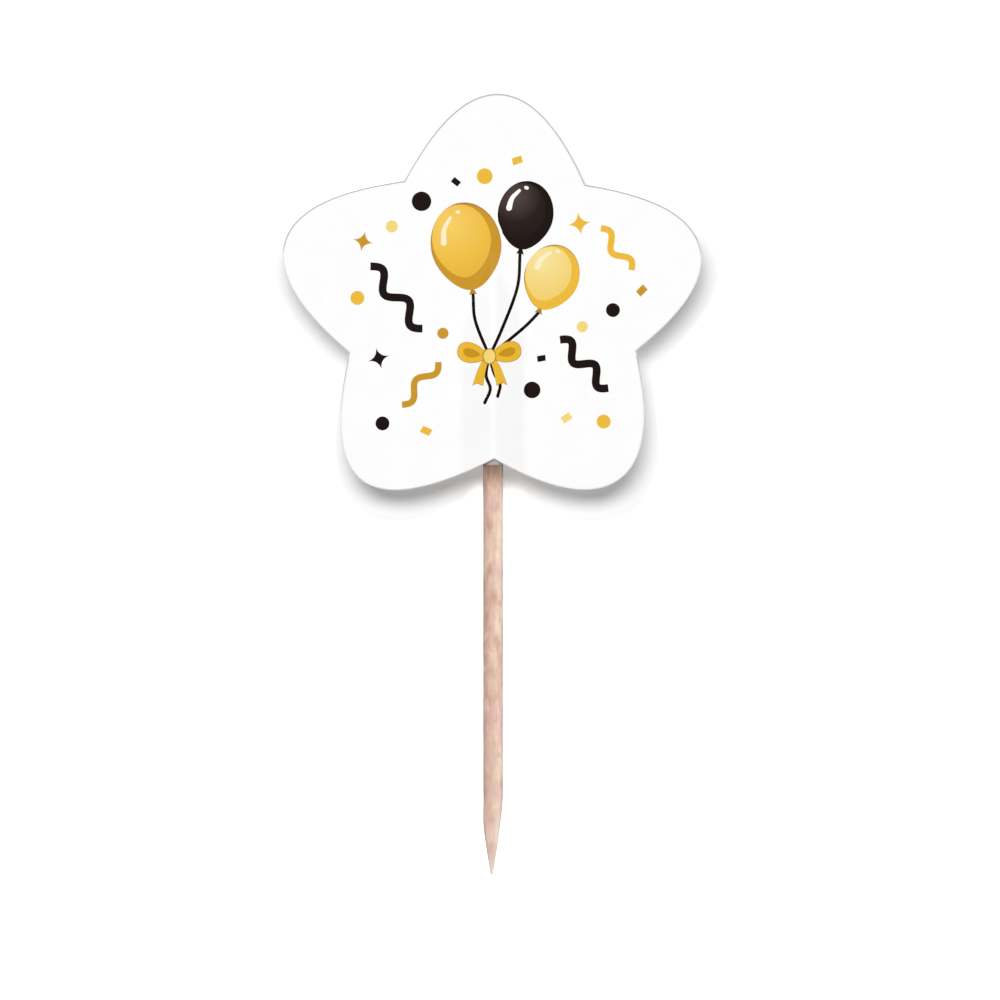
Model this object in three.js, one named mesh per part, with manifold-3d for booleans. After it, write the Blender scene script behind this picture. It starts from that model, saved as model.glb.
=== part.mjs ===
// A star-shaped cupcake pick: two die-cut card stars, stuck together over the upper part of a round wooden pick.
// Millimetres. The origin is the pick's lower point, +Z runs up the pick, and the printed face looks along -Y.
import * as THREE from "three";
import { mergeVertices, toCreasedNormals } from "three/addons/utils/BufferGeometryUtils.js";
import Module from "manifold-3d";

// The pick is a standard double-pointed round toothpick
const PICK_LENGTH = 65;
const PICK_DIAMETER = 2.2;
const POINT_LENGTH = 7.2; // the tapered stretch at each end
const POINT_DIAMETER = 0.24; // each end is slightly blunt
const POINT_FULLNESS = 1.4; // 1 is a straight cone, more swells outwards
const BARE_PICK_LENGTH = 44.8; // from the lower point up to the notch where the cards begin

// The star, measured from its centre
const ARM_REACH = 23.1; // to the top of an arm
const NOTCH_REACH = 16.2; // to the notch between two arms
const ARM_ROUNDNESS = 5; // half the width of an arm's top, which its two sides curve in to
// The outline is drawn by hand, so each arm, and the notch after it, strays from the even star: reach, degrees
// and, for an arm, roundness. They run clockwise from the top arm, seen from the front.
const STRAYS = [
  { arm: [-0.3, 1.5, 0.05], notch: [0.15, 1.2] },
  { arm: [0, 1.5, 0.05], notch: [-0.2, -0.8] },
  { arm: [-0.1, -0.1, 0.15], notch: [0.15, -0.4] },
  { arm: [0.3, 0.9, -0.25], notch: [-0.05, 0.1] },
  { arm: [0.3, -0.5, 0.15], notch: [0.25, 0.7] },
];

// The layers, from the front: card, adhesive, card
const CARD_THICKNESS = 0.3;
const ADHESIVE_THICKNESS = 0.1;
const ADHESIVE_INSET = 0.4; // the adhesive stops this far inside the cut edge
const LAYER_GAP = 0.02;

// Each layer is draped over the pick: a round crown, a straight flank, and a hollow curve down to the flat
const PICK_CLEARANCE = 0.05;
const FLANK_ANGLE = 21; // degrees
const FOOT_RADIUS = 3;
const RUN_OUT = 2; // past the pick's upper point the crown sinks to the flat in this length
const LEAST_FLANK_SHARE = 0.1; // of the rise, so that the flank never shrinks to nothing
const STOCK_MARGIN = 2; // the uncut sheet reaches this far past the star

// Fineness of the curves
const PICK_SIDES = 24;
const POINT_STEPS = 8;
const ARM_STEPS = 10;
const CROWN_STEPS = 4;
const FOOT_STEPS = 5;

const CREASE_ANGLE = 30; // degrees; a sharper edge is shaded as an edge

const wasm = await Module();
wasm.setup();

const radians = THREE.MathUtils.degToRad;

// Radius of the pick at a distance from its nearer end
function pickRadius(fromEnd) {
  const left = Math.max(0, 1 - fromEnd / POINT_LENGTH);
  const swell = 1 - left ** POINT_FULLNESS;
  return THREE.MathUtils.lerp(POINT_DIAMETER, PICK_DIAMETER, swell) / 2;
}

// Distances from an end of the pick to the rings that its taper is made of
function pointRings() {
  return Array.from({ length: POINT_STEPS + 1 }, (_, i) => (POINT_LENGTH * i) / POINT_STEPS);
}

function pickGeometry() {
  const lower = pointRings().map((d) => new THREE.Vector2(pickRadius(d), d));
  const upper = lower.map((p) => new THREE.Vector2(p.x, PICK_LENGTH - p.y)).reverse();
  const profile = [new THREE.Vector2(0, 0), ...lower, ...upper, new THREE.Vector2(0, PICK_LENGTH)];
  return new THREE.LatheGeometry(profile, PICK_SIDES).rotateX(Math.PI / 2);
}

// A point of the star at a reach and a bearing clockwise from straight up
function starPoint(reach, degrees) {
  return new THREE.Vector2(Math.sin(radians(degrees)), Math.cos(radians(degrees))).multiplyScalar(reach);
}

// Arm tops and notches in turn, drawn in from the cut edge by inset
function starCorners(inset) {
  const pitch = 360 / STRAYS.length;
  return STRAYS.map(({ arm, notch }, i) => ({
    bearing: i * pitch + arm[1],
    roundness: ARM_ROUNDNESS + arm[2] - inset,
    top: starPoint(ARM_REACH + arm[0] - inset, i * pitch + arm[1]),
    notch: starPoint(NOTCH_REACH + notch[0] - inset, (i + 0.5) * pitch + notch[1]),
  }));
}

// The pick comes out of the lowest notch
const starHeight = BARE_PICK_LENGTH - Math.min(...starCorners(0).map(({ notch }) => notch.y));
const starReach = Math.max(...STRAYS.map(({ arm }) => ARM_REACH + arm[0]));

// Each side of an arm is one curve, from the notch to the top, which it meets squarely
function starShape(inset) {
  const corners = starCorners(inset);
  const shape = new THREE.Shape();
  shape.moveTo(...corners.at(-1).notch.toArray());
  for (const { bearing, roundness, top, notch } of corners) {
    const along = starPoint(roundness, bearing + 90);
    shape.quadraticCurveTo(top.x - along.x, top.y - along.y, top.x, top.y);
    shape.quadraticCurveTo(top.x + along.x, top.y + along.y, notch.x, notch.y);
  }
  return shape;
}

// The cutting die: the star's outline, upright, and deeper than the layers and the pick
function dieGeometry(inset) {
  const depth = 2 * (PICK_DIAMETER + 2 * CARD_THICKNESS + ADHESIVE_THICKNESS);
  return new THREE.ExtrudeGeometry(starShape(inset), { depth, bevelEnabled: false, curveSegments: ARM_STEPS })
    .rotateX(Math.PI / 2)
    .translate(0, depth / 2, starHeight);
}

// Half a cross-section of a layer's inner face, from the crown out to where it is flat.
// y is the distance from the cards' middle plane, and tilt is the slope of the face in radians.
function halfSection(rise, flat) {
  const bend = PICK_DIAMETER / 2 + PICK_CLEARANCE;
  const turned = bend + FOOT_RADIUS;
  const most = Math.acos(1 - (rise * (1 - LEAST_FLANK_SHARE)) / turned);
  const angle = Math.min(radians(FLANK_ANGLE), most);
  const flankDrop = rise - turned * (1 - Math.cos(angle));
  const foot = turned * Math.sin(angle) + flankDrop / Math.tan(angle);
  const stations = [];
  for (let i = 0; i <= CROWN_STEPS; i++) {
    const tilt = (angle * i) / CROWN_STEPS;
    stations.push({ x: bend * Math.sin(tilt), y: flat + rise - bend * (1 - Math.cos(tilt)), tilt });
  }
  for (let i = FOOT_STEPS; i >= 0; i--) {
    const tilt = (angle * i) / FOOT_STEPS;
    stations.push({ x: foot - FOOT_RADIUS * Math.sin(tilt), y: flat + FOOT_RADIUS * (1 - Math.cos(tilt)), tilt });
  }
  return stations;
}

// The rows of stations of a layer's inner face, from below the star to above it
function sectionRows(flat) {
  const full = halfSection(pickRadius(POINT_LENGTH) + PICK_CLEARANCE - flat, flat);
  const level = full.map(({ x }) => ({ x, y: flat, tilt: 0 }));
  const ends = pointRings().reverse();
  const start = Math.min(starHeight - starReach, PICK_LENGTH - POINT_LENGTH) - STOCK_MARGIN;
  const sunk = PICK_LENGTH + RUN_OUT;
  return [
    { height: start, half: full },
    ...ends.map((d) => ({
      height: PICK_LENGTH - d,
      half: halfSection(pickRadius(d) + PICK_CLEARANCE - flat, flat),
    })),
    { height: sunk, half: level },
    { height: Math.max(starHeight + starReach, sunk) + STOCK_MARGIN, half: level },
  ];
}

// The uncut stock of one layer, as a closed sheet. side is -1 at the front and 1 at the back, flat is the level of
// its inner face beside the pick, and lift is how far the layer lies outside the face that rests on the pick.
function stockGeometry(side, flat, lift, thickness) {
  const rows = sectionRows(flat).map(({ height, half }) => {
    const edge = { x: starReach + STOCK_MARGIN, y: flat, tilt: 0 };
    const right = [...half, edge];
    const left = right.slice(1).reverse().map(({ x, y, tilt }) => ({ x: -x, y, tilt: -tilt }));
    return { height, stations: [...left, ...right] };
  });
  const columns = rows[0].stations.length;
  const layerSize = rows.length * columns;
  const positions = [];
  for (const offset of [lift, lift + thickness])
    for (const { height, stations } of rows)
      for (const { x, y, tilt } of stations)
        positions.push(x + offset * Math.sin(tilt), side * (y + offset * Math.cos(tilt)), height);

  const inner = (row, column) => row * columns + column;
  const outer = (row, column) => layerSize + inner(row, column);
  const index = [];
  // Corners go round the quad as seen from outside at the back, and the other way round at the front
  const quad = (a, b, c, d) => index.push(...(side > 0 ? [a, b, c, a, c, d] : [a, c, b, a, d, c]));
  for (let r = 0; r + 1 < rows.length; r++)
    for (let c = 0; c + 1 < columns; c++) {
      quad(inner(r, c), inner(r, c + 1), inner(r + 1, c + 1), inner(r + 1, c));
      quad(outer(r, c), outer(r + 1, c), outer(r + 1, c + 1), outer(r, c + 1));
    }
  for (let r = 0; r + 1 < rows.length; r++) {
    quad(inner(r, 0), inner(r + 1, 0), outer(r + 1, 0), outer(r, 0));
    const last = columns - 1;
    quad(inner(r, last), outer(r, last), outer(r + 1, last), inner(r + 1, last));
  }
  for (let c = 0; c + 1 < columns; c++) {
    quad(inner(0, c), outer(0, c), outer(0, c + 1), inner(0, c + 1));
    const last = rows.length - 1;
    quad(inner(last, c), inner(last, c + 1), outer(last, c + 1), outer(last, c));
  }
  const geometry = new THREE.BufferGeometry();
  geometry.setAttribute("position", new THREE.Float32BufferAttribute(positions, 3));
  return geometry.setIndex(index);
}

function toManifold(geometry) {
  const bare = geometry.clone();
  bare.deleteAttribute("normal");
  bare.deleteAttribute("uv");
  const merged = mergeVertices(bare);
  const vertProperties = new Float32Array(merged.attributes.position.array);
  const triVerts = new Uint32Array(merged.index.array);
  return new wasm.Manifold(new wasm.Mesh({ numProp: 3, vertProperties, triVerts }));
}

function toGeometry(solid) {
  const { vertProperties, triVerts } = solid.getMesh();
  const geometry = new THREE.BufferGeometry();
  geometry.setAttribute("position", new THREE.BufferAttribute(vertProperties, 3));
  return geometry.setIndex(new THREE.BufferAttribute(triVerts, 1));
}

// A layer is its stock, cut with the die
function layerGeometry({ side, flat, lift, thickness, inset }) {
  const stock = toManifold(stockGeometry(side, flat, lift, thickness));
  return toGeometry(stock.intersect(toManifold(dieGeometry(inset))));
}

function makeMesh(name, geometry, material) {
  const mesh = new THREE.Mesh(toCreasedNormals(geometry, radians(CREASE_ANGLE)), material);
  mesh.name = name;
  return mesh;
}

const cardWhite = { color: 0xfbfbf9, roughness: 0.5, metalness: 0 };
const halfAdhesive = ADHESIVE_THICKNESS / 2;

const pick = new THREE.Group();
pick.add(
  makeMesh(
    "front_card",
    layerGeometry({
      side: -1,
      flat: -halfAdhesive,
      lift: ADHESIVE_THICKNESS + LAYER_GAP,
      thickness: CARD_THICKNESS,
      inset: 0,
    }),
    new THREE.MeshStandardMaterial(cardWhite),
  ),
  // The adhesive goes over the pick with the front card, and the back card closes the pocket
  makeMesh(
    "adhesive_film",
    layerGeometry({
      side: -1,
      flat: -halfAdhesive,
      lift: 0,
      thickness: ADHESIVE_THICKNESS,
      inset: ADHESIVE_INSET,
    }),
    new THREE.MeshStandardMaterial({ color: 0xf1ead6, roughness: 0.35, metalness: 0 }),
  ),
  makeMesh(
    "back_card",
    layerGeometry({
      side: 1,
      flat: halfAdhesive + LAYER_GAP,
      lift: 0,
      thickness: CARD_THICKNESS,
      inset: 0,
    }),
    new THREE.MeshStandardMaterial(cardWhite),
  ),
  makeMesh(
    "toothpick",
    pickGeometry(),
    new THREE.MeshStandardMaterial({ color: 0xdebea8, roughness: 0.85, metalness: 0 }),
  ),
);

export default pick;
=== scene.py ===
import math

import bpy
import numpy as np
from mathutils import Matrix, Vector, noise
from mathutils.geometry import delaunay_2d_cdt


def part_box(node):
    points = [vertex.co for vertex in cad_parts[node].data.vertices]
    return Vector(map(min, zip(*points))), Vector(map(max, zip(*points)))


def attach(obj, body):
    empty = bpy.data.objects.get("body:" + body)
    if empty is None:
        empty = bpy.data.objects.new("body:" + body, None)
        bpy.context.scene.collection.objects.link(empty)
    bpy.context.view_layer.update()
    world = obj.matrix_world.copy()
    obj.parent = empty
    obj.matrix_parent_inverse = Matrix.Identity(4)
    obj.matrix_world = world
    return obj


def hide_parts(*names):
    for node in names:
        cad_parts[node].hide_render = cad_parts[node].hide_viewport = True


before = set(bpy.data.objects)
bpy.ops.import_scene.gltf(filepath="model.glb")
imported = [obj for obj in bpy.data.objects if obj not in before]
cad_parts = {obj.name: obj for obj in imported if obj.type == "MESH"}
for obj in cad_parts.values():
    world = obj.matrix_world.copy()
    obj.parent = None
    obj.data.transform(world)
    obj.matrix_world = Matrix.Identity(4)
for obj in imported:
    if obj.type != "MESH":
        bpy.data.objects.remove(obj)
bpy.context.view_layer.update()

MM = 0.001

# The pick, read from the frame, and the form of its ends, in millimetres
PICK_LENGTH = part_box("toothpick")[1].z / MM
PICK_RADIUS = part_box("toothpick")[1].x / MM
POINT_LENGTH = 7.2
POINT_RADIUS = 0.12
POINT_FULLNESS = 1.4

# The star: even arms and notches, then how far each arm (reach, degrees, roundness) and the notch after it
# (reach, degrees) strays, clockwise from the top arm
STAR_HEIGHT = 61.15
ARM_REACH = 23.1
NOTCH_REACH = 16.2
ARM_ROUNDNESS = 5
STRAYS = (
    ((-0.3, 1.5, 0.05), (0.15, 1.2)),
    ((0, 1.5, 0.05), (-0.2, -0.8)),
    ((-0.1, -0.1, 0.15), (0.15, -0.4)),
    ((0.3, 0.9, -0.25), (-0.05, 0.1)),
    ((0.3, -0.5, 0.15), (0.25, 0.7)),
)
ARM_STEPS = 26

# The layers, and how they drape over the pick
CARD_THICKNESS = 0.3
FILM_THICKNESS = 0.1
FILM_INSET = 0.4
FILM_WAVER = 0.14  # the film's edge wanders this far to either side
WAVER_SCALE = 0.9  # of its noise, per millimetre
LAYER_GAP = 0.02
PICK_CLEARANCE = 0.05
FLANK_ANGLE = math.radians(21)
FOOT_RADIUS = 3
RUN_OUT = 2
LEAST_FLANK_SHARE = 0.1
LEAST_RISE = 1e-5
RIDGE_HALF_WIDTH = 4.4  # the triangles are small this far to either side of the pick
RIDGE_STEP_ACROSS = 0.16
RIDGE_STEP_ALONG = 0.9

# The cut edge of a layer
EDGE_SWELL = 0.07  # the pressed edge stands out this far past the star's line
EDGE_ROUND = 0.1  # depth of the rounding between the face and the cut wall
MOST_ROUND_SHARE = 0.4  # of a layer's thickness
EDGE_SPREAD = 1.7  # width of the rounding over its depth
EDGE_STEPS = 5

# Places of the materials in a layer's list
FACE_SLOT = 0
RIM_SLOT = 1
WALL_SLOT = 2
FIRST_INK_SLOT = 3


def pick_radius(from_end):
    """Radius of the pick at a distance from its nearer end."""
    left = np.clip(1 - from_end / POINT_LENGTH, 0, 1)
    return POINT_RADIUS + (PICK_RADIUS - POINT_RADIUS) * (1 - left**POINT_FULLNESS)


def crown_rise(z, flat):
    """Height of a layer's crown over its flat, which sinks to nothing past the pick's upper point."""
    over_pick = pick_radius(np.maximum(PICK_LENGTH - z, 0)) + PICK_CLEARANCE - flat
    sunk = np.clip((z - PICK_LENGTH) / RUN_OUT, 0, 1)
    return np.maximum(over_pick * (1 - sunk), LEAST_RISE)


def drape(x, z, flat, lift):
    """Distance of a layer's face from the cards' middle plane: crown, straight flank, hollow foot, flat."""
    across = np.abs(x)
    bend = PICK_RADIUS + PICK_CLEARANCE
    turned = bend + FOOT_RADIUS
    rise = crown_rise(z, flat)
    angle = np.minimum(FLANK_ANGLE, np.arccos(1 - rise * (1 - LEAST_FLANK_SHARE) / turned))
    flank_drop = rise - turned * (1 - np.cos(angle))
    foot = turned * np.sin(angle) + flank_drop / np.tan(angle)
    crown_end = (bend + lift) * np.sin(angle)
    foot_start = foot - (FOOT_RADIUS - lift) * np.sin(angle)
    on_crown = np.minimum(across, crown_end)
    crown = flat + rise - bend + np.sqrt((bend + lift) ** 2 - on_crown**2)
    flank = crown - (across - on_crown) * np.tan(angle)
    on_foot = foot - np.clip(across, foot_start, foot)
    hollow = flat + FOOT_RADIUS - np.sqrt((FOOT_RADIUS - lift) ** 2 - on_foot**2)
    return np.where(across < foot_start, flank, hollow)


def unit(vectors):
    """The vectors, each scaled to a length of 1."""
    return vectors / np.linalg.norm(vectors, axis=1)[:, None]


def drape_normal(x, z, flat, lift, side):
    """Unit normals of a layer's outer face."""
    step = 1e-3
    across = (drape(x + step, z, flat, lift) - drape(x - step, z, flat, lift)) / (2 * step)
    along = (drape(x, z + step, flat, lift) - drape(x, z - step, flat, lift)) / (2 * step)
    return unit(np.stack([-across, np.full_like(across, side), -along], axis=1))


def star_point(reach, degrees):
    """A point at a reach and a bearing from the star's centre, clockwise from straight up."""
    return reach * np.array([math.sin(math.radians(degrees)), math.cos(math.radians(degrees))])


def bezier(points, steps):
    """Points of a quadratic or cubic curve, without its last one."""
    t = np.arange(steps)[:, None] / steps
    made = [np.asarray(p, float) for p in points]
    while len(made) > 1:
        made = [a * (1 - t) + b * t for a, b in zip(made, made[1:])]
    return made[0]


def star_outline():
    """The cut edge, clockwise seen from the front, as (x, z)."""
    pitch = 360 / len(STRAYS)
    notches = [
        star_point(NOTCH_REACH + notch[0], (i + 0.5) * pitch + notch[1])
        for i, (_, notch) in enumerate(STRAYS)
    ]
    made = []
    for i, (arm, _) in enumerate(STRAYS):
        bearing = i * pitch + arm[1]
        top = star_point(ARM_REACH + arm[0], bearing)
        along = star_point(ARM_ROUNDNESS + arm[2], bearing + 90)
        made.append(bezier([notches[i - 1], top - along, top], ARM_STEPS))
        made.append(bezier([top, top + along, notches[i]], ARM_STEPS))
    line = np.concatenate(made) + (0, STAR_HEIGHT)
    return line + outward(line) * EDGE_SWELL


def outward(outline):
    """The direction out of the outline at each of its points, long enough for a mitred offset of 1."""
    along = unit(np.roll(outline, -1, axis=0) - outline)
    side = np.stack([-along[:, 1], along[:, 0]], axis=1)
    before = np.roll(side, 1, axis=0)
    return (side + before) / (1 + np.sum(side * before, axis=1))[:, None]


def inside(points, outline):
    """Which of the points lie inside the outline."""
    ax, az = outline[:, 0], outline[:, 1]
    bx, bz = np.roll(ax, -1), np.roll(az, -1)
    x, z = points[:, :1], points[:, 1:]
    spans = (az > z) != (bz > z)
    with np.errstate(divide="ignore", invalid="ignore"):
        crossing = ax + (z - az) * (bx - ax) / (bz - az)
    return np.count_nonzero(spans & (x < crossing), axis=1) % 2 == 1


def ridge_points(outline):
    """A grid of points over the ridge, so that the triangles follow its relief."""
    x = np.arange(-RIDGE_HALF_WIDTH, RIDGE_HALF_WIDTH + RIDGE_STEP_ACROSS / 2, RIDGE_STEP_ACROSS)
    z = np.arange(outline[:, 1].min(), PICK_LENGTH + RUN_OUT, RIDGE_STEP_ALONG)
    grid = np.stack(np.meshgrid(x, z), axis=-1).reshape(-1, 2)
    return grid[inside(grid, outline - outward(outline) * RIDGE_STEP_ACROSS)]


def turn_way(shape):
    """1 if the shape's points run anticlockwise, -1 if they run clockwise."""
    x, z = shape[:, 0], shape[:, 1]
    return 1 if np.sum(x * np.roll(z, -1) - z * np.roll(x, -1)) > 0 else -1


def triangulate(outline, regions=()):
    """Triangles over the outline's inside, cut along the regions' edges.
    Returns the points, the triangles (anticlockwise seen from the front), each triangle's last region or -1,
    and which point each outline point became."""
    shapes = [outline, *regions]
    loose = ridge_points(outline)
    starts = np.cumsum([0, *[len(s) for s in shapes]])
    faces = [list(range(a, b))[:: turn_way(s)] for s, a, b in zip(shapes, starts, starts[1:])]
    given = [Vector(p) for p in np.concatenate([*shapes, loose])]
    tolerance = 1e-6
    points, _, triangles, origins, _, covers = delaunay_2d_cdt(given, [], faces, 0, tolerance, True)
    kept = [i for i, cover in enumerate(covers) if 0 in cover]
    ring = {}
    for made, sources in enumerate(origins):
        for source in sources:
            ring[source] = made
    return (
        np.array([tuple(p) for p in points]),
        [list(triangles[i]) for i in kept],
        [max(covers[i]) - 1 for i in kept],
        np.array([ring[i] for i in range(len(outline))]),
    )


class Shell:
    """Collects the faces of a closed layer with a normal for each corner."""

    def __init__(self):
        self.points = []
        self.faces = []
        self.normals = []
        self.slots = []

    def add_points(self, points):
        first = len(self.points)
        self.points.extend(map(tuple, points))
        return first

    def add_face(self, corners, normals, slot, flip):
        order = -1 if flip else 1
        self.faces.append(list(corners)[::order])
        self.normals.extend([tuple(n) for n in normals][::order])
        self.slots.append(slot)

    def build(self, name, materials):
        mesh = bpy.data.meshes.new(name)
        mesh.from_pydata([Vector(p) * MM for p in self.points], [], self.faces)
        for material in materials:
            mesh.materials.append(material)
        mesh.polygons.foreach_set("material_index", self.slots)
        mesh.polygons.foreach_set("use_smooth", [True] * len(self.faces))
        mesh.normals_split_custom_set(self.normals)
        made = bpy.data.objects.new(name, mesh)
        bpy.context.scene.collection.objects.link(made)
        return made


def layer(name, side, flat, lift, thickness, outline, materials, regions=(), region_slots=()):
    """A draped, die-cut layer. side is -1 at the front and 1 at the back, flat is the level of its inner
    face beside the pick, and lift is how far that face lies outside the one that rests on the pick."""
    shell = Shell()
    top = lift + thickness
    rounding = min(EDGE_ROUND, thickness * MOST_ROUND_SHARE)
    spread = rounding * EDGE_SPREAD
    out = outward(outline)
    out_unit = unit(out)
    out_normals = np.stack([out_unit[:, 0], np.zeros(len(out)), out_unit[:, 1]], axis=1)

    def placed(flat_points, depth):
        x, z = flat_points[:, 0], flat_points[:, 1]
        return np.stack([x, side * drape(x, z, flat, depth), z], axis=1)

    def add_faced(face_outline, depth, outer, cuts, slots):
        points, triangles, owners, ring = triangulate(face_outline, cuts)
        first = shell.add_points(placed(points, depth))
        normals = drape_normal(points[:, 0], points[:, 1], flat, depth, side) * (1 if outer else -1)
        flip = (side > 0) == outer
        for triangle, owner in zip(triangles, owners):
            slot = slots[owner] if owner >= 0 else FACE_SLOT
            shell.add_face([first + i for i in triangle], normals[triangle], slot, flip)
        return first + ring

    def add_wall(ring_a, ring_b, normals_a, normals_b, slot):
        count = len(ring_a)
        for i in range(count):
            j = (i + 1) % count
            corners = [ring_a[i], ring_a[j], ring_b[j], ring_b[i]]
            normals = [normals_a[i], normals_a[j], normals_b[j], normals_b[i]]
            shell.add_face(corners, normals, slot, side > 0)

    inner_line = outline - out * spread
    ring = add_faced(inner_line, top, True, regions, region_slots)
    face_normals = drape_normal(inner_line[:, 0], inner_line[:, 1], flat, top, side)
    ring_normals = face_normals
    for k in range(1, EDGE_STEPS + 1):
        turn = math.pi / 2 * k / EDGE_STEPS
        line = outline - out * spread * (1 - math.sin(turn))
        points = placed(line, top - rounding * (1 - math.cos(turn)))
        next_ring = shell.add_points(points) + np.arange(len(line))
        next_normals = unit(face_normals * (math.cos(turn) * EDGE_SPREAD) + out_normals * math.sin(turn))
        add_wall(ring, next_ring, ring_normals, next_normals, RIM_SLOT)
        ring, ring_normals = next_ring, next_normals
    inner_ring = add_faced(outline, lift, False, (), ())
    add_wall(ring, inner_ring, out_normals, out_normals, WALL_SLOT)
    return shell.build(name, materials)


# Node materials


def linear(*rgb):
    """A screen colour, 0 to 255, as the linear colour that renders as it."""
    return [((c / 255 + 0.055) / 1.055) ** 2.4 if c > 10 else c / 255 / 12.92 for c in rgb] + [1]


class Nodes:
    """A node tree with a few short ways to add to it. Lengths are in millimetres."""

    def __init__(self, material):
        self.material = material
        material.use_nodes = True
        self.tree = material.node_tree
        self.tree.nodes.clear()
        self.output = self.add("ShaderNodeOutputMaterial").inputs["Surface"]
        self.place = self.add("ShaderNodeTexCoord").outputs["Object"]

    def add(self, kind, **values):
        node = self.tree.nodes.new(kind)
        for key, value in values.items():
            setattr(node, key, value)
        return node

    def feed(self, value, socket):
        """Links a socket, or sets a plain value."""
        if isinstance(value, bpy.types.NodeSocket):
            self.tree.links.new(value, socket)
        else:
            socket.default_value = value

    def scaled(self, x, y, z):
        """Object coordinates stretched by these factors."""
        node = self.add("ShaderNodeVectorMath", operation="MULTIPLY")
        self.feed(self.place, node.inputs[0])
        self.feed((x / MM, y / MM, z / MM), node.inputs[1])
        return node.outputs[0]

    def axis(self, name):
        """One object coordinate."""
        node = self.add("ShaderNodeSeparateXYZ")
        self.feed(self.scaled(1, 1, 1), node.inputs[0])
        return node.outputs[name]

    def upward(self):
        """How far the surface faces up, from -1 to 1."""
        node = self.add("ShaderNodeSeparateXYZ")
        self.feed(self.add("ShaderNodeTexCoord").outputs["Normal"], node.inputs[0])
        return node.outputs["Z"]

    def distance(self, x, z):
        """Distance from a point, seen from the front."""
        node = self.add("ShaderNodeVectorMath", operation="DISTANCE")
        self.feed(self.scaled(1, 0, 1), node.inputs[0])
        self.feed((x, 0, z), node.inputs[1])
        return node.outputs["Value"]

    def noise(self, place, scale, detail=3.0, rough=0.55):
        node = self.add("ShaderNodeTexNoise")
        self.feed(place, node.inputs["Vector"])
        self.feed(scale, node.inputs["Scale"])
        self.feed(detail, node.inputs["Detail"])
        self.feed(rough, node.inputs["Roughness"])
        return node.outputs["Fac"]

    def ramp(self, factor, *stops):
        """Each stop is a place from 0 to 1 and a linear colour or a grey."""
        node = self.add("ShaderNodeValToRGB")
        self.feed(factor, node.inputs["Fac"])
        elements = node.color_ramp.elements
        while len(elements) < len(stops):
            elements.new(0.5)
        for element, (place, value) in zip(elements, stops):
            element.position = place
            element.color = value if hasattr(value, "__len__") else (value, value, value, 1)
        return node.outputs["Color"]

    def between(self, value, start, end):
        """0 at start and 1 at end, smooth between them. start can be the larger."""
        node = self.add("ShaderNodeMapRange", interpolation_type="SMOOTHSTEP")
        self.feed(value, node.inputs["Value"])
        self.feed(start, node.inputs["From Min"])
        self.feed(end, node.inputs["From Max"])
        return node.outputs["Result"]

    def mix(self, factor, a, b, blend="MIX"):
        """A blend of two colours. The node's inputs 6 and 7 and its output 2 are the colour ones."""
        node = self.add("ShaderNodeMix", data_type="RGBA", blend_type=blend)
        self.feed(factor, node.inputs[0])
        self.feed(a, node.inputs[6])
        self.feed(b, node.inputs[7])
        return node.outputs[2]

    def math(self, operation, *values):
        node = self.add("ShaderNodeMath", operation=operation)
        for value, socket in zip(values, node.inputs):
            self.feed(value, socket)
        return node.outputs[0]


class Finish(Nodes):
    """The nodes of an opaque surface."""

    def __init__(self, name, roughness, specular):
        super().__init__(bpy.data.materials.new(name))
        self.shader = self.add("ShaderNodeBsdfPrincipled")
        self.feed(self.shader.outputs[0], self.output)
        self.feed(roughness, self.shader.inputs["Roughness"])
        self.feed(specular, self.shader.inputs["Specular IOR Level"])

    def bump(self, height, distance, strength=1.0):
        node = self.add("ShaderNodeBump")
        self.feed(height, node.inputs["Height"])
        self.feed(distance * MM, node.inputs["Distance"])
        self.feed(strength, node.inputs["Strength"])
        self.feed(node.outputs["Normal"], self.shader.inputs["Normal"])

    def colour(self, socket):
        self.feed(socket, self.shader.inputs["Base Color"])
        return self.material


def coated_card(name, white):
    """Smooth coated label card: a faint cloudiness, and the least tooth in its gloss and relief."""
    look = Finish(name, roughness=0.5, specular=0.25)
    fibres = look.noise(look.scaled(1, 1, 1), scale=9, detail=5, rough=0.65)
    cloud = look.noise(look.scaled(1, 1, 1), scale=0.35, detail=2)
    look.bump(fibres, distance=0.006, strength=0.5)
    look.feed(look.ramp(fibres, (0.3, 0.46), (0.7, 0.54)), look.shader.inputs["Roughness"])
    paler = linear(*[channel + 2 for channel in white])
    return look.colour(look.ramp(cloud, (0.35, linear(*white)), (0.65, paler)))


def cut_fibres(look):
    """The uncoated fibre of a cut card, with its relief."""
    fibres = look.noise(look.scaled(1, 6, 1), scale=5, detail=4, rough=0.7)
    look.bump(fibres, distance=0.02, strength=0.6)
    return fibres


def cut_wall():
    """The cut through the card: white fibre, a little grey."""
    look = Finish("cut_wall", roughness=0.8, specular=0.15)
    fibres = cut_fibres(look)
    return look.colour(look.ramp(fibres, (0.3, linear(226, 225, 222)), (0.7, linear(243, 242, 240))))


def rounded_rim():
    """The rounded edge of the coating: grey where it faces up, partly its own grey and partly painted shade,
    and painted light where it faces down, almost white though it lies in shade.
    """
    look = Finish("rounded_rim", roughness=0.8, specular=0.15)
    fibres = cut_fibres(look)
    grey = look.ramp(fibres, (0.3, linear(177, 176, 176)), (0.7, linear(197, 196, 196)))
    pale = look.ramp(fibres, (0.3, linear(238, 237, 236)), (0.7, linear(248, 248, 247)))
    # Painted light and shade by facing: darker where the rim faces up, almost white where it faces down
    return look.colour(look.mix(look.between(look.upward(), 0.0, 0.12), pale, grey))


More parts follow.
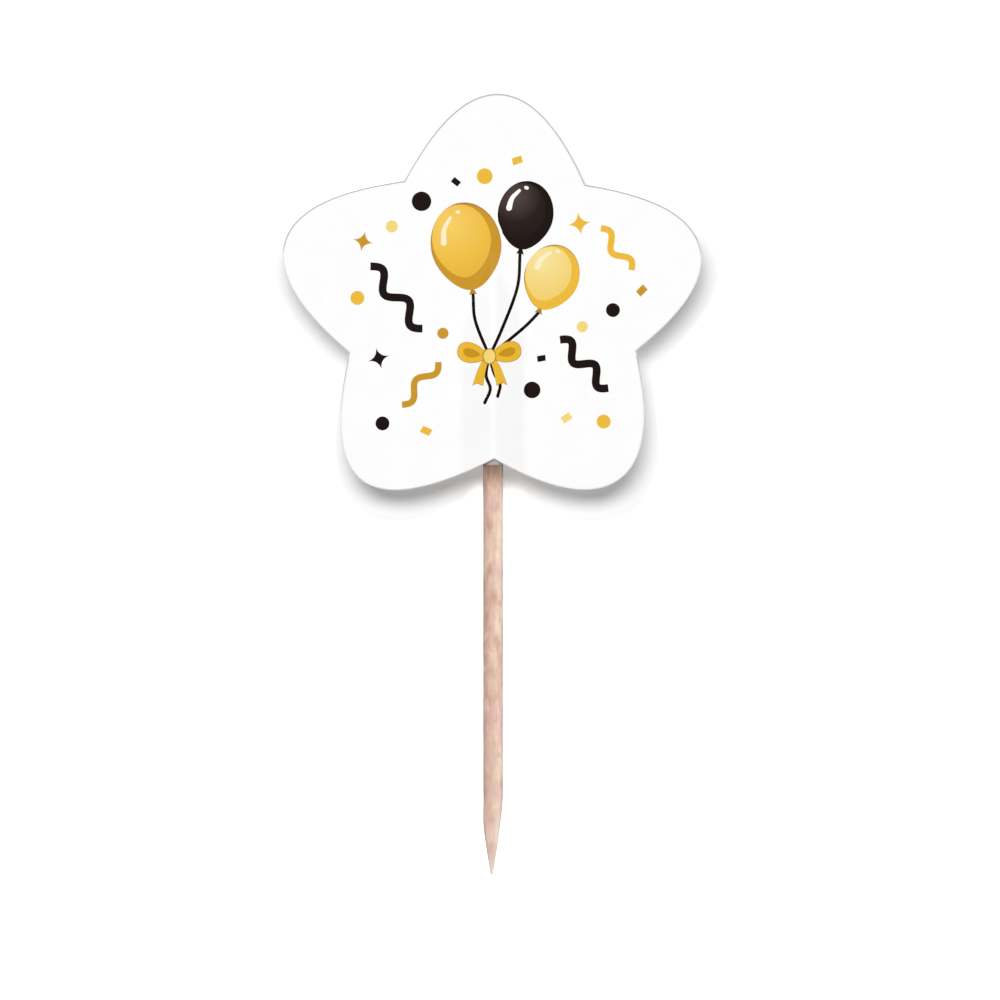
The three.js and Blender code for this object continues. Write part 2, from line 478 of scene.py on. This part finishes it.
def ink(name, *colours, specular=0.1, lit=None, reach=1):
    """Printed ink on the coating, with slight mottle. Two or more colours run from the point lit, in
    millimetres from the star's centre, out to reach."""
    look = Finish(name, 0.42, specular)
    grain = look.noise(look.scaled(1, 1, 1), scale=6, detail=4, rough=0.7)
    look.bump(grain, distance=0.004, strength=0.4)
    if lit:
        share = look.math("DIVIDE", look.distance(lit[0], lit[1] + STAR_HEIGHT), reach)
        stops = [(i / (len(colours) - 1), linear(*colour)) for i, colour in enumerate(colours)]
        plain = look.ramp(share, *stops)
    else:
        plain = linear(*colours[0])
    return look.colour(look.mix(1.0, plain, look.ramp(grain, (0.3, 0.94), (0.7, 1.0)), "MULTIPLY"))


def adhesive():
    """Clear acrylic adhesive, a little yellow, with fine bubbles."""
    look = Finish("clear_adhesive", roughness=0.3, specular=0.5)
    bubbles = look.noise(look.scaled(1, 1, 1), scale=3, detail=4, rough=0.6)
    look.bump(bubbles, distance=0.02, strength=0.5)
    return look.colour(look.ramp(bubbles, (0.35, linear(226, 214, 186)), (0.65, linear(240, 232, 212))))


# Where the wood's tone changes: each range runs from none of the change to all of it.
# x is right from the pick's middle, and z up from its lower point.
# The painted shade on the pick's left side fades out over this range
PAINTED_SHADE_FADE_X = (-0.7, 0.9)
PALE_POINT_Z = (8.0, 4.0)
# A painted highlight on the right flank near the point, over these two ranges
PAINTED_HIGHLIGHT_FLANK_Z = (7.2, 4.2)
PAINTED_HIGHLIGHT_FLANK_X = (-0.1, 0.55)
PALE_TIP_Z = (2.8, 0.2)
# A painted shadow of the cards on the pick below the lowest notch: where it starts, its length, and where it
# lightens towards the pick's sides
PAINTED_SHADOW_START = 40.5
PAINTED_SHADOW_LENGTH = 4.4
PAINTED_SHADOW_EDGE = (0.55, 1.0)  # distance from the middle
# Just under the cards, a grey patch of adhesive and painted shade, with painted light right at the cards'
# edge, where the cards shade the pick
SMEAR_AND_PAINTED_SHADE_Z = (44.02, 44.16)
PAINTED_LIGHT_BY_CARD_Z = (44.45, 44.75)  # at the middle; it sinks to the sides, as the cards' edge does
CARD_EDGE_SLOPE = 0.55


def birch():
    """Bare birch: soft pink and beige mottle, fine grain, flecks, painted shade on the left side, a paler
    point with a painted highlight on its right flank, and under the cards a painted shadow, then a grey
    patch of adhesive and painted shade, with painted light next to the cards' edge."""
    look = Finish("birch", roughness=0.8, specular=0.18)
    x, z = look.axis("X"), look.axis("Z")
    mottle = look.noise(look.scaled(1, 1, 0.5), scale=0.9, detail=2, rough=0.45)
    base = look.ramp(
        mottle,
        (0.34, linear(222, 183, 165)),
        (0.44, linear(237, 204, 189)),
        (0.54, linear(245, 216, 199)),
        (0.65, linear(252, 227, 206)),
    )
    blush = look.noise(look.scaled(1, 1, 0.5), scale=0.75, detail=1, rough=0.5)
    blushed = look.mix(look.ramp(blush, (0.48, 0.0), (0.64, 0.6)), base, linear(238, 202, 191))
    # Painted shade: the left side of the pick is darkened as if it lay in shade
    shade = look.ramp(look.between(x, *PAINTED_SHADE_FADE_X), (0.0, (0.8, 0.75, 0.72, 1)), (1.0, 1.0))
    side_shaded = look.mix(1.0, blushed, shade, "MULTIPLY")
    grain = look.noise(look.scaled(1, 1, 0.07), scale=5.5, detail=4, rough=0.6)
    fibres = look.ramp(grain, (0.34, linear(226, 218, 212)), (0.56, linear(255, 255, 255)))
    grained = look.mix(0.45, side_shaded, fibres, "MULTIPLY")
    flecks = look.noise(look.scaled(1, 1, 0.6), scale=1.5, detail=1, rough=0.5)
    flecked = look.mix(look.ramp(flecks, (0.6, 0.0), (0.76, 0.55)), grained, linear(206, 168, 146))
    streaks = look.noise(look.scaled(1, 1, 0.35), scale=1.5, detail=2, rough=0.5)
    streaked = look.mix(look.ramp(streaks, (0.58, 0.0), (0.74, 0.4)), flecked, linear(255, 227, 203))

    # A painted highlight: the right flank near the point is made paler
    flank = look.math("MULTIPLY", look.between(z, *PAINTED_HIGHLIGHT_FLANK_Z), look.between(x, *PAINTED_HIGHLIGHT_FLANK_X))
    point = look.math("MULTIPLY", look.between(z, *PALE_POINT_Z), 0.35)
    paler = look.mix(point, streaked, linear(255, 228, 212))
    pointed = look.mix(look.math("MULTIPLY", flank, 0.6), paler, linear(244, 236, 228))
    tip = look.math("MULTIPLY", look.between(z, *PALE_TIP_Z), 0.7)
    tipped = look.mix(tip, pointed, linear(238, 226, 222))

    # Painted shadow: the pick darkens towards the cards above it, as if in their shadow
    painted_shadow = look.ramp(
        look.math("MULTIPLY_ADD", z, 1 / PAINTED_SHADOW_LENGTH, -PAINTED_SHADOW_START / PAINTED_SHADOW_LENGTH),
        (0.0, 1.0),
        (0.25, (0.94, 0.91, 0.87, 1)),
        (0.46, (0.74, 0.69, 0.62, 1)),
        (0.62, (0.51, 0.47, 0.42, 1)),
        (0.78, (0.34, 0.34, 0.34, 1)),
    )
    # The painted shadow is lighter towards the pick's sides
    across = look.math("ABSOLUTE", x)
    edge = look.math("MULTIPLY", look.between(across, *PAINTED_SHADOW_EDGE), 0.4)
    with_painted_shadow = look.mix(1.0, tipped, look.mix(edge, painted_shadow, linear(255, 255, 255)), "MULTIPLY")
    # A grey patch of adhesive and painted shade just under the cards, turned almost white by painted light
    # right at their edge
    painted_light_by_card = look.between(look.math("MULTIPLY_ADD", across, CARD_EDGE_SLOPE, z), *PAINTED_LIGHT_BY_CARD_Z)
    smear_shade_and_light = look.mix(painted_light_by_card, linear(180, 168, 164), linear(240, 230, 228))
    smeared_and_shaded = look.mix(look.between(z, *SMEAR_AND_PAINTED_SHADE_Z), with_painted_shadow, smear_shade_and_light)
    relief = look.math("ADD", grain, look.math("MULTIPLY", mottle, 0.4))
    look.bump(relief, distance=0.04, strength=0.5)
    return look.colour(smeared_and_shaded)


BLACK = (24, 10, 8)
white_card = coated_card("coated_card", (249, 249, 249))
plain_card = coated_card("plain_card", (247, 247, 246))
rim = rounded_rim()
wall = cut_wall()
INKS = {
    "black": ink("ink_black", BLACK, specular=0.04),
    "gold": ink("ink_gold", (238, 187, 52)),
    "dark_gold": ink("ink_dark_gold", (203, 149, 28)),
    "light_gold": ink("ink_light_gold", (246, 217, 122)),
    "brown": ink("ink_brown", (176, 126, 36)),
    "cream": ink("ink_cream", (252, 240, 204)),
    "gold_balloon": ink(
        "ink_gold_balloon",
        (248, 208, 98),
        (240, 190, 62),
        (226, 170, 46),
        lit=(-4.6, 8.8),
        reach=8,
    ),
    "light_balloon": ink(
        "ink_light_balloon",
        (250, 230, 158),
        (246, 216, 124),
        (238, 198, 92),
        lit=(5.2, 5.2),
        reach=6,
    ),
    "black_balloon": ink(
        "ink_black_balloon",
        (84, 70, 64),
        (38, 25, 22),
        BLACK,
        lit=(2.4, 11.8),
        reach=5.5,
        specular=0.04,
    ),
    "bare": white_card,
}

# The print, in millimetres from the star's centre: right, up. Later shapes cover earlier ones.


def turned(points, degrees):
    """The points turned anticlockwise about the origin."""
    cosine, sine = math.cos(math.radians(degrees)), math.sin(math.radians(degrees))
    return points @ np.array([[cosine, sine], [-sine, cosine]])


def ellipse(centre, radii, tilt=0, steps=48):
    t = np.linspace(0, 2 * math.pi, steps, endpoint=False)
    return turned(np.stack([radii[0] * np.cos(t), radii[1] * np.sin(t)], axis=1), tilt) + centre


def curve(points, steps=10):
    """A smooth line through the points."""
    line = [np.asarray(point, float) for point in points]
    line = [2 * line[0] - line[1], *line, 2 * line[-1] - line[-2]]
    made = [
        bezier([start, start + (end - before) / 6, end - (after - start) / 6, end], steps)
        for before, start, end, after in zip(line, line[1:], line[2:], line[3:])
    ]
    return np.concatenate([*made, [line[-2]]])


def stroke(points, width, end_width=None, steps=10, round_ends=True):
    """A drawn line, which can thin out towards its end."""
    line = curve(points, steps)
    end_width = width if end_width is None else end_width
    halves = np.linspace(width, end_width, len(line)) / 2
    along = unit(np.gradient(line, axis=0))
    side = np.stack([-along[:, 1], along[:, 0]], axis=1) * halves[:, None]

    def cap(at, direction, half, count=7):
        left = np.array([-direction[1], direction[0]])
        t = np.linspace(0, math.pi, count + 2)[1:-1, None]
        return at + half * (np.cos(t) * left + np.sin(t) * direction)

    if not round_ends:
        return np.concatenate([line + side, (line - side)[::-1]])
    end = cap(line[-1], along[-1], halves[-1])
    start = cap(line[0], -along[0], halves[0])
    return np.concatenate([line + side, end, (line - side)[::-1], start])


def streamer(start, end, humps, height, width):
    """A curled paper ribbon, seen from its side: a wave with straight-cut ends."""
    start, end = np.array(start, float), np.array(end, float)
    t = np.linspace(0, 1, humps * 8 + 1)[:, None]
    along = end - start
    side = np.array([-along[1], along[0]]) / np.linalg.norm(along)
    wave = start + along * t + side * height * np.sin(math.pi * humps * t)
    return stroke(wave, width, steps=2, round_ends=False)


def shrunk(shape, towards, share):
    """The shape drawn in towards a point, which stays in place."""
    return towards + (shape - towards) * (1 - share)


def balloon_body(centre, radii, tilt):
    """An egg, narrower towards its neck below."""
    t = np.linspace(0, 2 * math.pi, 64, endpoint=False)
    up = np.sin(t)
    neck = np.clip(-up, 0, 1) ** 2
    across = radii[0] * np.cos(t) * (1 - 0.16 * neck)
    return turned(np.stack([across, radii[1] * up * (1 + 0.06 * neck)], axis=1), tilt) + centre


def balloon(centre, radii, tilt, outline, shade, body, shine):
    """A balloon with a thin outline, a shaded side, a shine and a tied neck.
    Returns its shapes, and where its string is tied."""
    centre = np.array(centre, float)
    whole = balloon_body(centre, radii, tilt)

    def at(right, up):
        return centre + turned(np.array([[right * radii[0], up * radii[1]]]), tilt)[0]

    lower_right = whole[np.argmax(whole @ np.array([0.6, -0.8]))]
    upper_left = whole[np.argmax(whole @ np.array([-0.8, 0.6]))]
    neck = at(0, -1.06)
    flare = 0.42
    knot_corners = np.array([(-0.1, 0.25), (0.1, 0.25), (flare, -0.55), (0, -0.38), (-flare, -0.55)])
    knot = neck + turned(knot_corners, tilt)
    gap = centre + (whole - centre) * (1 + 0.3 / min(radii))
    lit = shrunk(shrunk(whole, upper_left, 0.022), upper_left, 0.15)
    gleam = stroke([at(-0.62, 0.12), at(-0.56, 0.42), at(-0.34, 0.68)], 0.62, 0.34)
    spot = ellipse(at(-0.1, 0.79), (0.26, 0.19), tilt - 12)
    shapes = [
        ("bare", gap),
        (outline, knot),
        (outline, whole),
        (shade, shrunk(whole, lower_right, 0.02)),
        (body, lit),
        (shine, gleam),
        (shine, spot),
    ]
    return shapes, neck + turned(np.array([[0, -0.45]]), tilt)[0]


def bow(centre):
    """A ribbon bow: two tails, two loops and a knot."""
    centre = np.array(centre, float)
    shapes = []
    for hand, lean in ((-1, 6), (1, -4)):
        def at(right, up):
            return centre + turned(np.array([[hand * right, up]]), lean)[0]

        tail = np.concatenate([
            curve([at(0.0, -0.2), at(0.55, -1.5), at(1.0, -3.1)], 8),
            [at(1.62, -2.75)],
            curve([at(2.15, -2.95), at(1.45, -1.4), at(0.6, 0.0)], 8),
        ])
        loop = np.concatenate([
            bezier([at(0, 0), at(1.0, 1.9), at(3.1, 2.5), at(3.4, 0.9)], 14),
            bezier([at(3.4, 0.9), at(3.6, -0.5), at(1.4, -1.0), at(0, 0)], 14),
        ])
        hole = np.concatenate([
            bezier([at(0.9, 0.25), at(1.5, 1.1), at(2.7, 1.5), at(2.75, 0.8)], 10),
            bezier([at(2.75, 0.8), at(2.7, 0.1), at(1.6, -0.1), at(0.9, 0.25)], 10),
        ])
        shapes += [("brown", tail), ("gold", shrunk(tail, at(1.1, -1.6), 0.06))]
        shapes += [("brown", loop), ("gold", shrunk(loop, at(1.9, 0.8), 0.045)), ("dark_gold", hole)]
    shapes.append(("brown", ellipse(centre, (0.74, 0.86), steps=28)))
    shapes.append(("light_gold", ellipse(centre, (0.64, 0.76), steps=28)))
    return shapes


def sparkle(centre, reach, tilt=0):
    """A four-pointed star with hollow sides."""
    waist = 0.09
    points = [turned(np.array([[0, reach]]), tilt + 90 * i)[0] for i in range(4)]
    sides = [
        bezier([point, (point + after) * waist, after], 8)
        for point, after in zip(points, points[1:] + points[:1])
    ]
    return np.concatenate(sides) + centre


def flake(centre, size, tilt):
    """A cut square of confetti, in perspective."""
    corners = np.array([(-1, -0.55), (0.8, -0.7), (1, 0.55), (-0.8, 0.7)]) * size
    return turned(corners, tilt) + centre


def party_print():
    """A bunch of three balloons tied with a bow, among streamers and confetti."""
    tie = (-0.4, -5.4)
    bunch = [
        balloon((3.5, 9.9), (3.0, 3.6), -8, "black", "black", "black_balloon", "bare"),
        balloon((6.3, 3.2), (2.95, 3.5), -20, "brown", "gold", "light_balloon", "cream"),
        balloon((-2.9, 6.6), (3.8, 4.6), 8, "brown", "dark_gold", "gold_balloon", "cream"),
    ]
    bends = [((2.6, 2.0), (0.9, -2.6)), ((3.3, -2.3),), ((-1.9, -1.6),)]
    shapes = []
    for (_, neck), bend in zip(bunch, bends):
        shapes.append(("black", stroke([neck, *bend, tie], 0.34)))
    shapes.append(("black", stroke([tie, (-0.75, -7.4), (-0.3, -8.9), (-0.9, -10.4)], 0.34)))
    shapes.append(("black", stroke([tie, (0.1, -7.2), (0.75, -8.4), (0.5, -9.7)], 0.34)))
    for made, _ in bunch:
        shapes += made
    shapes += bow(tie)
    shapes += [
        ("black", streamer((-13.2, 4.3), (-7.6, -2.4), 4, 0.8, 0.85)),
        ("black", streamer((7.2, -3.6), (12.4, -8.8), 4, 0.75, 0.85)),
        ("gold", streamer((11.6, 8.4), (14.9, 3.9), 3, 0.6, 0.7)),
        ("dark_gold", streamer((-5.9, -6.0), (-9.8, -10.6), 3, 0.6, 0.7)),
    ]
    # Colour, right, up, radius
    dots = (
        ("black", -7.7, 11.3, 1.05),
        ("gold", -0.9, 14.0, 0.85),
        ("light_gold", -10.9, 8.6, 0.65),
        ("black", 12.9, -0.4, 0.75),
        ("dark_gold", -5.4, -2.9, 0.6),
        ("gold", -14.6, 0.9, 0.75),
        ("black", 4.2, -9.0, 0.9),
        ("light_gold", 9.6, -2.2, 0.6),
        ("gold", 11.9, -12.4, 0.75),
        ("black", -11.9, -12.6, 0.75),
    )
    for colour, x, y, radius in dots:
        shapes.append((colour, ellipse((x, y), (radius, radius), steps=28)))
    # Colour, right, up, size, tilt
    flakes = (
        ("gold", 2.6, 15.7, 0.6, 24),
        ("black", -4.0, 13.4, 0.5, -35),
        ("dark_gold", 16.0, 1.7, 0.6, 50),
        ("black", 5.2, -5.6, 0.5, 15),
        ("gold", -7.2, -13.4, 0.6, -20),
        ("light_gold", 7.9, -12.0, 0.6, 40),
    )
    for colour, x, y, size, tilt in flakes:
        shapes.append((colour, flake((x, y), size, tilt)))
    # Colour, right, up, reach, tilt
    sparkles = (
        ("gold", 9.3, 8.9, 1.3, 8),
        ("dark_gold", -14.0, 7.0, 1.15, -12),
        ("black", -12.3, -5.6, 1.2, 15),
    )
    for colour, x, y, reach, tilt in sparkles:
        shapes.append((colour, sparkle((x, y), reach, tilt)))
    return shapes


outline = star_outline()
half_film = FILM_THICKNESS / 2
slot_names = list(INKS)
printed = party_print()
front = layer(
    "printed_front",
    -1,
    -half_film,
    FILM_THICKNESS + LAYER_GAP,
    CARD_THICKNESS,
    outline,
    [white_card, rim, wall, *INKS.values()],
    [shape + (0, STAR_HEIGHT) for _, shape in printed],
    [FIRST_INK_SLOT + slot_names.index(colour) for colour, _ in printed],
)
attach(front, "root")
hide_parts("front_card")

back = layer("plain_back", 1, half_film + LAYER_GAP, 0, CARD_THICKNESS, outline, [plain_card, rim, wall])
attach(back, "root")
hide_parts("back_card")

waver = np.array([noise.noise(Vector((*p, 0)) * WAVER_SCALE) for p in outline])[:, None]
glue = adhesive()
film_line = outline - outward(outline) * (FILM_INSET + FILM_WAVER * waver)
film = layer("adhesive", -1, -half_film, 0, FILM_THICKNESS, film_line, [glue, glue, glue])
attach(film, "root")
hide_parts("adhesive_film")

# The wooden pick
PICK_SIDES = 72
PICK_RINGS = 420
END_CROWDING = 0.25  # share of the rings' spacing that crowds them towards the ends
GROOVE_DEPTH = 0.035
GROOVES_AROUND = 6  # scale of the grooves' noise round the pick, and per millimetre along it
GROOVES_ALONG = 0.22
OVAL_DEPTH = 0.03
OVAL_AROUND = 1.6  # the same for its slight ovalness
OVAL_ALONG = 0.07
MOST_DEPTH_SHARE = 0.35  # of the radius, for grooves and ovalness together
POINT_LEAN = 0.15
LEAN_START = POINT_LENGTH + 1.2  # from the end
LEAN_LENGTH = 3.4
SHOULDER_EASE = 0.035  # the shoulder, where the taper begins, is this much lower
SHOULDER_FROM_END = 7
SHOULDER_WIDTH = 1.4


def fibre_depth(angle, z):
    """How far the surface lies below the turned radius: long grooves between the fibres."""
    around = Vector((math.cos(angle), math.sin(angle), 0))

    def place(scale_around, scale_along):
        return Vector((around.x * scale_around, around.y * scale_around, z * scale_along))

    fine = noise.fractal(place(GROOVES_AROUND, GROOVES_ALONG), 0.8, 2.1, 4)
    broad = noise.noise(place(OVAL_AROUND, OVAL_ALONG))
    return GROOVE_DEPTH * (0.5 + 0.5 * fine) + OVAL_DEPTH * (0.5 + 0.5 * broad)


def wooden_pick():
    """The turned pick. Its points lean a little, so that one flank is cut back further than the other."""
    spread = np.linspace(0, 1, PICK_RINGS)
    crowded = (1 - np.cos(math.pi * spread)) / 2
    heights = PICK_LENGTH * ((1 - END_CROWDING) * spread + END_CROWDING * crowded)
    angles = np.linspace(0, 2 * math.pi, PICK_SIDES, endpoint=False)
    points = [(-POINT_LEAN * MM, 0, 0)]
    for z in heights[1:-1]:
        from_end = min(z, PICK_LENGTH - z)
        leaning = min(max((LEAN_START - from_end) / LEAN_LENGTH, 0), 1)
        lean = -POINT_LEAN * leaning * leaning * (3 - 2 * leaning)
        ease = SHOULDER_EASE * math.exp(-(((from_end - SHOULDER_FROM_END) / SHOULDER_WIDTH) ** 2))
        radius = float(pick_radius(from_end)) - ease
        for angle in angles:
            reach = radius - min(fibre_depth(angle, z), radius * MOST_DEPTH_SHARE)
            points.append(((lean + reach * math.cos(angle)) * MM, reach * math.sin(angle) * MM, z * MM))
    points.append((-POINT_LEAN * MM, 0, PICK_LENGTH * MM))
    faces = []
    rings = len(heights) - 2
    top_ring = 1 + (rings - 1) * PICK_SIDES
    for i in range(PICK_SIDES):
        j = (i + 1) % PICK_SIDES
        faces.append((0, 1 + j, 1 + i))
        for ring in range(rings - 1):
            lower, upper = 1 + ring * PICK_SIDES, 1 + (ring + 1) * PICK_SIDES
            faces.append((lower + i, lower + j, upper + j, upper + i))
        faces.append((top_ring + i, top_ring + j, len(points) - 1))
    mesh = bpy.data.meshes.new("wooden_pick")
    mesh.from_pydata(points, [], faces)
    mesh.polygons.foreach_set("use_smooth", [True] * len(faces))
    mesh.materials.append(birch())
    made = bpy.data.objects.new("wooden_pick", mesh)
    bpy.context.scene.collection.objects.link(made)
    return made


pick = wooden_pick()
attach(pick, "root")
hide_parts("toothpick")

# The floor and the backdrop behind the star
FLOOR_HALF = 300
FLOOR_GREY = 0.5
FLOOR_GLOW = 0.76
BACKDROP_GAP = 4
BACKDROP_HALF = 70
BACKDROP_GREY = 0.9

# The shadow that the backdrop keeps has five lobes: its shift right and up from the star, its reach between
# an arm and a notch, how much further it reaches at an arm, and the width in which it ends
SHADOW_SHIFT = (0.4, -1.7)
SHADOW_REACH = 21.3
SHADOW_LOBE = 3.4
SHADOW_END = 2.4

# The pick's own shadow is hidden under the lowest notch. Each range runs from none to all of it.
HIDDEN_Z = (43.5, 40.1)  # at the middle, up from the pick's lower point
HIDDEN_SLOPE = 0.42  # that range sinks to the sides
HIDDEN_BESIDE = (3.8, 1.5)  # distance from the shadow's middle


class Stage(Nodes):
    """The nodes of a pale surface that keeps shadows, glows for the camera alone, and is clear from
    behind."""

    def __init__(self, name, grey):
        super().__init__(bpy.data.materials.new(name))
        diffuse = self.add("ShaderNodeBsdfDiffuse")
        self.feed((grey, grey, grey, 1), diffuse.inputs["Color"])
        self.light = self.add("ShaderNodeEmission")
        lit = self.add("ShaderNodeAddShader")
        self.feed(diffuse.outputs[0], lit.inputs[0])
        self.feed(self.light.outputs[0], lit.inputs[1])
        side = self.add("ShaderNodeNewGeometry")
        chosen = self.add("ShaderNodeMixShader")
        self.feed(side.outputs["Backfacing"], chosen.inputs[0])
        self.feed(lit.outputs[0], chosen.inputs[1])
        self.feed(self.add("ShaderNodeBsdfTransparent").outputs[0], chosen.inputs[2])
        self.feed(chosen.outputs[0], self.output)

    def glow(self, strength):
        seen = self.add("ShaderNodeLightPath").outputs["Is Camera Ray"]
        self.feed(self.math("MULTIPLY", seen, strength), self.light.inputs["Strength"])
        return self.material


def floor_material():
    return Stage("floor", FLOOR_GREY).glow(FLOOR_GLOW)


def backdrop_material():
    """It glows only past the star's shadow, which it keeps, and hides most of the pick's."""
    look = Stage("backdrop", BACKDROP_GREY)
    x, z = look.axis("X"), look.axis("Z")
    right, up = SHADOW_SHIFT[0], STAR_HEIGHT + SHADOW_SHIFT[1]
    bearing = look.math("ARCTAN2", look.math("SUBTRACT", x, right), look.math("SUBTRACT", z, up))
    lobes = look.math("COSINE", look.math("MULTIPLY", bearing, len(STRAYS)))
    past_star = look.math("MULTIPLY_ADD", lobes, -SHADOW_LOBE, look.distance(right, up))
    away = look.between(past_star, SHADOW_REACH, SHADOW_REACH + SHADOW_END)
    under_edge = look.math("MULTIPLY_ADD", look.math("ABSOLUTE", x), HIDDEN_SLOPE, z)
    below = look.between(under_edge, *HIDDEN_Z)
    beside = look.math("ABSOLUTE", look.math("SUBTRACT", x, right))
    by_pick = look.between(beside, *HIDDEN_BESIDE)
    return look.glow(look.math("MAXIMUM", away, look.math("MULTIPLY", below, by_pick)))


def plane(name, corners, material):
    mesh = bpy.data.meshes.new(name)
    mesh.from_pydata([Vector(c) * MM for c in corners], [], [(0, 1, 2, 3)])
    mesh.materials.append(material)
    made = bpy.data.objects.new(name, mesh)
    bpy.context.scene.collection.objects.link(made)
    return made


near, far = -FLOOR_HALF, FLOOR_HALF
plane("floor", [(near, near, 0), (far, near, 0), (far, far, 0), (near, far, 0)], floor_material())

left, right, top = -BACKDROP_HALF, BACKDROP_HALF, STAR_HEIGHT + BACKDROP_HALF
backdrop_corners = [
    (left, BACKDROP_GAP, 0),
    (right, BACKDROP_GAP, 0),
    (right, BACKDROP_GAP, top),
    (left, BACKDROP_GAP, top),
]
backdrop = plane("backdrop", backdrop_corners, backdrop_material())
backdrop.visible_shadow = False
backdrop.visible_diffuse = False
backdrop.visible_glossy = False
backdrop.visible_transmission = False

# Light. For each lamp: azimuth and elevation in degrees, distance, width and height, and level.
LAMPS = {
    "key": (-6.2, 19.6, 1500, 1010, 640, 0.93),
    "left_fill": (-95, 5, 700, 300, 300, 0.1),
    "right_fill": (65, 5, 700, 300, 300, 0.08),
    "right_rim": (100, 5, 700, 300, 300, 0.42),
    "back_light": (190, 10, 700, 454, 454, 0.58),
}
WORLD_LEVEL = 0.08


def area_light(name, azimuth, elevation, distance, width, height, level):
    """An oval soft light. level is the diffuse brightness that it gives a white surface facing it."""
    data = bpy.data.lights.new(name, "AREA")
    data.shape = "ELLIPSE"
    data.size = width * MM
    data.size_y = height * MM
    data.energy = level * math.pi**2 * (distance * MM) ** 2
    made = bpy.data.objects.new(name, data)
    bpy.context.scene.collection.objects.link(made)
    turn, tilt = math.radians(azimuth), math.radians(elevation)
    away = Vector((math.sin(turn) * math.cos(tilt), -math.cos(turn) * math.cos(tilt), math.sin(tilt)))
    made.location = (Vector((0, 0, STAR_HEIGHT)) + away * distance) * MM
    made.rotation_mode = "QUATERNION"
    made.rotation_quaternion = away.to_track_quat("Z", "Y")
    made.visible_camera = False


for lamp, placing in LAMPS.items():
    area_light(lamp, *placing)

world = bpy.data.worlds.new("studio")
bpy.context.scene.world = world
world.use_nodes = True
tree = world.node_tree
path = tree.nodes.new("ShaderNodeLightPath")
seen = tree.nodes.new("ShaderNodeMath")
seen.operation = "MAXIMUM"
tree.links.new(path.outputs["Is Camera Ray"], seen.inputs[0])
tree.links.new(path.outputs["Is Transmission Ray"], seen.inputs[1])
level = tree.nodes.new("ShaderNodeMapRange")
level.inputs["To Min"].default_value = WORLD_LEVEL
level.inputs["To Max"].default_value = 1.0
tree.links.new(seen.outputs[0], level.inputs["Value"])
tree.links.new(level.outputs[0], tree.nodes["Background"].inputs["Strength"])
tree.nodes["Background"].inputs["Color"].default_value = (1, 1, 1, 1)

# Camera: a long lens that frames the part as the photograph does
PHOTO_PIXELS = 1000
PIXELS_PER_MM = 9.289
PHOTO_WIDTH = PHOTO_PIXELS / PIXELS_PER_MM
PHOTO_CENTRE = (0.745, 40.31)
LENS = 300
SENSOR = 36
camera = bpy.data.objects.new("camera", bpy.data.cameras.new("camera"))
bpy.context.scene.collection.objects.link(camera)
camera.data.lens = LENS
camera.data.sensor_width = SENSOR
distance = PHOTO_WIDTH * LENS / SENSOR
camera.location = Vector((PHOTO_CENTRE[0], -distance, PHOTO_CENTRE[1])) * MM
camera.rotation_euler = (math.pi / 2, 0, 0)
camera.data.clip_start = 0.01
camera.data.clip_end = 10
bpy.context.scene.camera = camera

bpy.context.scene.view_settings.view_transform = "Standard"
